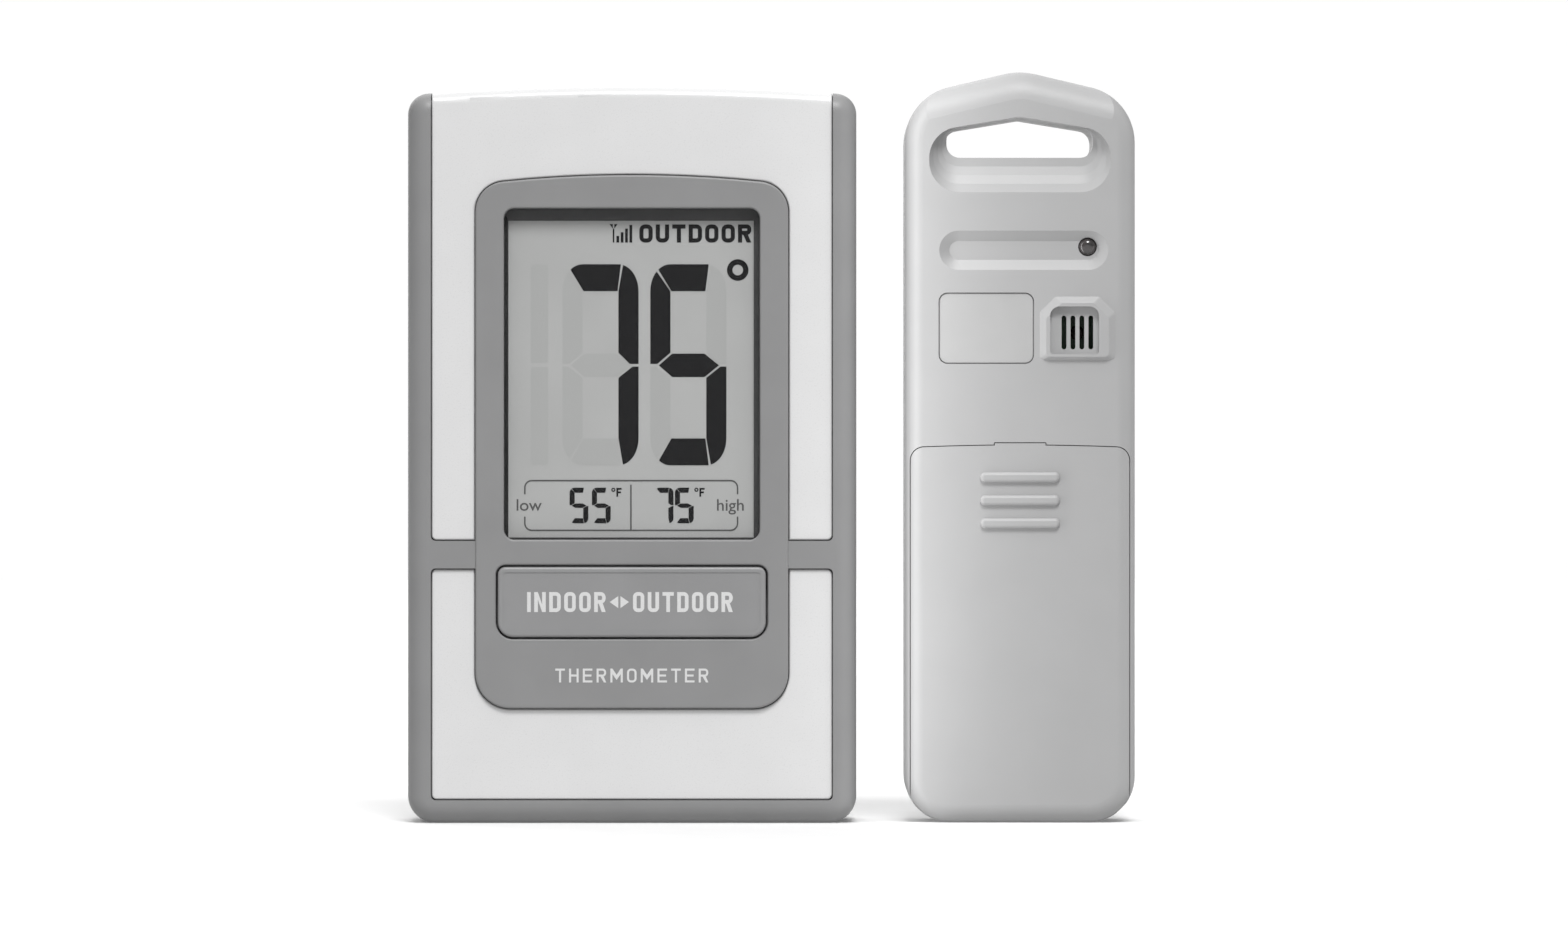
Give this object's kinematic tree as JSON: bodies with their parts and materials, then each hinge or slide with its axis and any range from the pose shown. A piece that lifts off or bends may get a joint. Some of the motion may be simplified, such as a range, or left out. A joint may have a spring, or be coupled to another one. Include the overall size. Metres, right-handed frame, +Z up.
{
  "type": "maximum minimum thermometer",
  "caption": "Upright indoor display with a liquid crystal window showing temperature with daily low and high, one wide button, fold-out stand, and a wireless outdoor sensor.",
  "frame": {"origin": "bottom centre of the two units standing side by side", "axes": "+Z up, both units face -Y, +X towards the sensor"},
  "size_m": [0.1204, 0.025, 0.1244],
  "materials": {
    "frame_grey": "fine satin silver-grey moulding",
    "button_grey": "satin grey keycap with a printed legend",
    "panel_white": "smooth white, soft gloss",
    "clear_lens": "clear polished acrylic",
    "mask_black": "fine matte black",
    "lcd_film": "silvery grey reflective liquid crystal film",
    "lcd_glass": "clear ground glass",
    "contact_rubber": "soft matte silicone",
    "board_green": "green solder resist over glass laminate",
    "plated_steel": "nickel-plated",
    "copper_wire": "enamelled copper",
    "sensor_grey": "light grey, very fine moulded grain",
    "label_grey": "blank satin label",
    "lamp_red": "dark red moulded epoxy",
    "bead_epoxy": "dark glossy epoxy bead",
    "cell_wrap": "plain printed shrink wrap"
  },
  "bodies": {
    "display_case": {"front_case": "frame_grey", "lower_panel": "panel_white", "upper_panel": "panel_white", "window_lens": "clear_lens", "lcd_bracket": "mask_black", "lcd_front_polariser": "lcd_film", "lcd_front_glass": "lcd_glass", "lcd_rear_glass": "lcd_glass", "lcd_reflector": "lcd_film", "lcd_contact_strip": "contact_rubber", "mode_switch": "plated_steel", "main_board": "board_green", "board_screws": "plated_steel", "controller_blob": "mask_black", "timing_crystal": "plated_steel", "supply_capacitor": "mask_black", "board_chips": "mask_black", "indoor_thermistor": "bead_epoxy", "receiver_module": "board_green", "receiver_antenna": "copper_wire", "rear_case": "frame_grey", "case_screws": "plated_steel", "display_cell_lower": "cell_wrap", "display_cell_upper": "cell_wrap", "battery_springs": "plated_steel", "battery_contacts": "plated_steel", "switch_board": "board_green", "channel_switch_body": "plated_steel", "unit_switch_body": "plated_steel"},
    "mode_button": {"mode_button": "button_grey", "mode_switch_plunger": "mask_black"},
    "battery_door": {"battery_door": "frame_grey"},
    "stand_leg": {"stand_leg": "frame_grey"},
    "channel_switch_knob": {"channel_switch_knob": "mask_black"},
    "unit_switch_knob": {"unit_switch_knob": "mask_black"},
    "sensor_case": {"sensor_front_case": "sensor_grey", "sensor_rear_case": "sensor_grey", "sensor_case_seal": "contact_rubber", "sensor_case_screws": "plated_steel", "sensor_label_plate": "label_grey", "sensor_board": "board_green", "sensor_board_screws": "plated_steel", "sensor_led": "lamp_red", "sensor_thermistor": "bead_epoxy", "sensor_chip": "mask_black", "sensor_crystal": "plated_steel", "sensor_antenna": "copper_wire", "sensor_switch_body": "plated_steel", "sensor_cell_left": "cell_wrap", "sensor_cell_right": "cell_wrap", "sensor_battery_springs": "plated_steel", "sensor_battery_contacts": "plated_steel"},
    "sensor_battery_cover": {"sensor_battery_cover": "sensor_grey"},
    "sensor_switch_knob": {"sensor_switch_knob": "mask_black"}
  },
  "joints": [
    {"name": "mode_button_press", "type": "slide", "parent": "display_case", "child": "mode_button", "axis": [0, 1, 0], "range_m": [0, 0.0005], "stiffness_N_per_m": 800, "springref_m": -0.001},
    {"name": "battery_door_open", "type": "hinge", "parent": "display_case", "child": "battery_door", "pos_m": [-0.0231, 0.0116, 0.05685], "axis": [-1, 0, 0], "range_deg": [0, 75]},
    {"name": "stand_fold", "type": "hinge", "parent": "display_case", "child": "stand_leg", "pos_m": [-0.0231, 0.0111, 0.0495], "axis": [1, 0, 0], "range_deg": [0, 32]},
    {"name": "channel_switch_slide", "type": "slide", "parent": "display_case", "child": "channel_switch_knob", "axis": [1, 0, 0], "range_m": [0, 0.004]},
    {"name": "unit_switch_slide", "type": "slide", "parent": "display_case", "child": "unit_switch_knob", "axis": [1, 0, 0], "range_m": [0, 0.002]},
    {"name": "sensor_lift", "type": "slide", "parent": "display_case", "child": "sensor_case", "axis": [0, 0, 1], "range_m": [0, 0.14]},
    {"name": "sensor_cover_slide", "type": "slide", "parent": "sensor_case", "child": "sensor_battery_cover", "axis": [0, 0, -1], "range_m": [0, 0.062]},
    {"name": "sensor_channel_switch_slide", "type": "slide", "parent": "sensor_case", "child": "sensor_switch_knob", "axis": [1, 0, 0], "range_m": [0, 0.004]}
  ]
}
